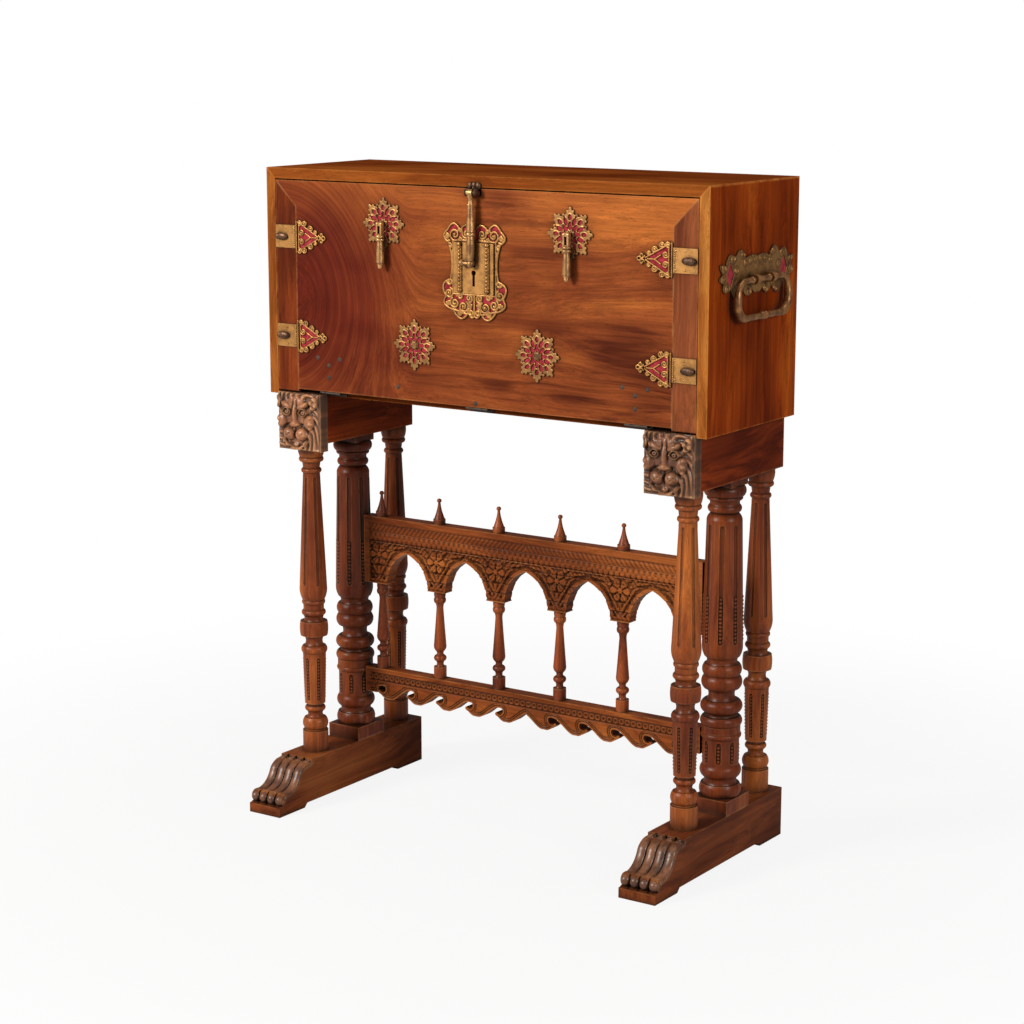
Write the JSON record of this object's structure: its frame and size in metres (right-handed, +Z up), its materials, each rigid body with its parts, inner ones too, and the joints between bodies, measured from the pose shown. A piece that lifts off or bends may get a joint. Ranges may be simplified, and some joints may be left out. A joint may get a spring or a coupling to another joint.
{
  "type": "fall-front cabinet on stand",
  "caption": "Fall-front writing cabinet on a turned and carved stand, with pierced mounts, a hasp lock, side bail handles and lion-headed sliding supports.",
  "frame": {"origin": "on the floor, in the middle of the two feet", "axes": "+Z up, +Y from the front to the back, +X to the right of a user who faces the fall front"},
  "size_m": [1.05, 0.4808, 1.2861],
  "materials": {
    "walnut_case": "waxed, satin",
    "walnut_panel": "waxed, satin, strongly figured",
    "walnut_stand": "waxed, satin",
    "walnut_carved": "waxed, rubbed on the high places",
    "pale_wood": "plain, matt",
    "gilt_iron": "worn gilding, satin",
    "bronze": "worn, satin",
    "dark_iron": "forged, satin",
    "velvet": "worn pile"
  },
  "bodies": {
    "case_and_stand": {"case_top": "walnut_case", "case_side_left": "walnut_case", "case_side_right": "walnut_case", "case_bottom": "walnut_case", "case_back": "walnut_case", "drawer_partitions": "pale_wood", "drawers_left_bank": "pale_wood", "drawers_right_bank": "pale_wood", "centre_drawers": "pale_wood", "cupboard_door": "pale_wood", "handle_plate_left": "gilt_iron", "handle_plate_right": "gilt_iron", "bail_posts": "bronze", "drawer_knobs": "bronze", "hinge_leaves": "dark_iron", "hinge_pins": "dark_iron", "side_velvet": "velvet", "foot_left": "walnut_stand", "foot_right": "walnut_stand", "column_blocks": "walnut_stand", "column_front_left": "walnut_stand", "column_front_right": "walnut_stand", "column_middle_left": "walnut_stand", "column_middle_right": "walnut_stand", "column_rear_left": "walnut_stand", "column_rear_right": "walnut_stand", "beam_left": "walnut_stand", "beam_right": "walnut_stand", "arcade_rail": "walnut_stand", "bottom_rail": "walnut_stand", "balusters": "walnut_stand", "finials": "walnut_stand"},
    "fall": {"fall_panel": "walnut_panel", "fall_stile_left": "walnut_case", "fall_stile_right": "walnut_case", "hinge_straps": "dark_iron", "fall_nails": "dark_iron", "lock_escutcheon": "gilt_iron", "lock_plate": "gilt_iron", "lock_back_plate": "dark_iron", "hasp_staple": "gilt_iron", "star_mounts": "gilt_iron", "drop_staples": "bronze", "bolt_plates": "gilt_iron", "mount_velvet": "velvet"},
    "bolt_upper_left": {"bolt_upper_left": "bronze"},
    "bolt_upper_right": {"bolt_upper_right": "bronze"},
    "bolt_lower_left": {"bolt_lower_left": "bronze"},
    "bolt_lower_right": {"bolt_lower_right": "bronze"},
    "hasp": {"hasp": "gilt_iron"},
    "lock_bolt": {"lock_bolt": "dark_iron"},
    "drop_left": {"drop_handle_left": "bronze"},
    "drop_right": {"drop_handle_right": "bronze"},
    "bail_left": {"bail_left": "bronze"},
    "bail_right": {"bail_right": "bronze"},
    "loper_left": {"loper_bar_left": "walnut_stand", "lion_head_left": "walnut_carved"},
    "loper_right": {"loper_bar_right": "walnut_stand", "lion_head_right": "walnut_carved"}
  },
  "joints": [
    {"name": "fall_hinge", "type": "hinge", "parent": "case_and_stand", "child": "fall", "pos_m": [0, -0.1158, 0.8498], "axis": [1, 0, 0], "range_deg": [0, 90]},
    {"name": "bolt_upper_left_slide", "type": "slide", "parent": "fall", "child": "bolt_upper_left", "axis": [-1, 0, 0], "range_m": [0, 0.012]},
    {"name": "bolt_upper_right_slide", "type": "slide", "parent": "fall", "child": "bolt_upper_right", "axis": [1, 0, 0], "range_m": [0, 0.012]},
    {"name": "bolt_lower_left_slide", "type": "slide", "parent": "fall", "child": "bolt_lower_left", "axis": [-1, 0, 0], "range_m": [0, 0.012]},
    {"name": "bolt_lower_right_slide", "type": "slide", "parent": "fall", "child": "bolt_lower_right", "axis": [1, 0, 0], "range_m": [0, 0.012]},
    {"name": "hasp_hinge", "type": "hinge", "parent": "fall", "child": "hasp", "pos_m": [0, -0.1358, 1.2561], "axis": [-1, 0, 0], "range_deg": [0, 150]},
    {"name": "lock_bolt_slide", "type": "slide", "parent": "fall", "child": "lock_bolt", "axis": [-1, 0, 0], "range_m": [0, 0.009]},
    {"name": "drop_left_hinge", "type": "hinge", "parent": "fall", "child": "drop_left", "pos_m": [-0.2116, -0.1348, 1.1885], "axis": [-1, 0, 0], "range_deg": [0, 80]},
    {"name": "bail_left_hinge", "type": "hinge", "parent": "case_and_stand", "child": "bail_left", "pos_m": [-0.516, 0.0505, 1.112], "axis": [0, 1, 0], "range_deg": [0, 120]},
    {"name": "loper_left_slide", "type": "slide", "parent": "case_and_stand", "child": "loper_left", "axis": [0, -1, 0], "range_m": [0, 0.215]},
    {"name": "drop_right_hinge", "type": "hinge", "parent": "fall", "child": "drop_right", "pos_m": [0.2116, -0.1348, 1.1885], "axis": [-1, 0, 0], "range_deg": [0, 80]},
    {"name": "bail_right_hinge", "type": "hinge", "parent": "case_and_stand", "child": "bail_right", "pos_m": [0.516, 0.0505, 1.112], "axis": [0, -1, 0], "range_deg": [0, 120]},
    {"name": "loper_right_slide", "type": "slide", "parent": "case_and_stand", "child": "loper_right", "axis": [0, -1, 0], "range_m": [0, 0.215]}
  ]
}
